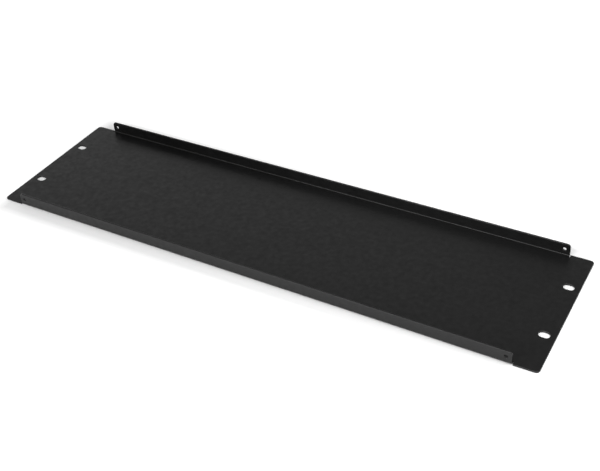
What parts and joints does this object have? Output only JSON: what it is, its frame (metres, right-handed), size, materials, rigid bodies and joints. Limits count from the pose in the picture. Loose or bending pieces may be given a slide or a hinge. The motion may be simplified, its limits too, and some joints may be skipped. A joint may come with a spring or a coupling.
{
  "type": "rack blanking panel",
  "caption": "Folded sheet-steel blanking panel for a 19-inch rack, with slotted ears, low stiffening flanges and a black powder coat.",
  "frame": {"origin": "middle of the panel's outer face, which lies on the ground plane", "axes": "+X along the width of the rack, +Y up the height of the rack, +Z from the outer face towards the inside of the rack, the way the flanges stand"},
  "size_m": [0.4826, 0.1326, 0.0115],
  "materials": {
    "black_powder_coat": "satin black powder coat with a fine texture, on steel sheet"
  },
  "bodies": {
    "root": {"blanking_panel": "black_powder_coat"}
  },
  "joints": []
}
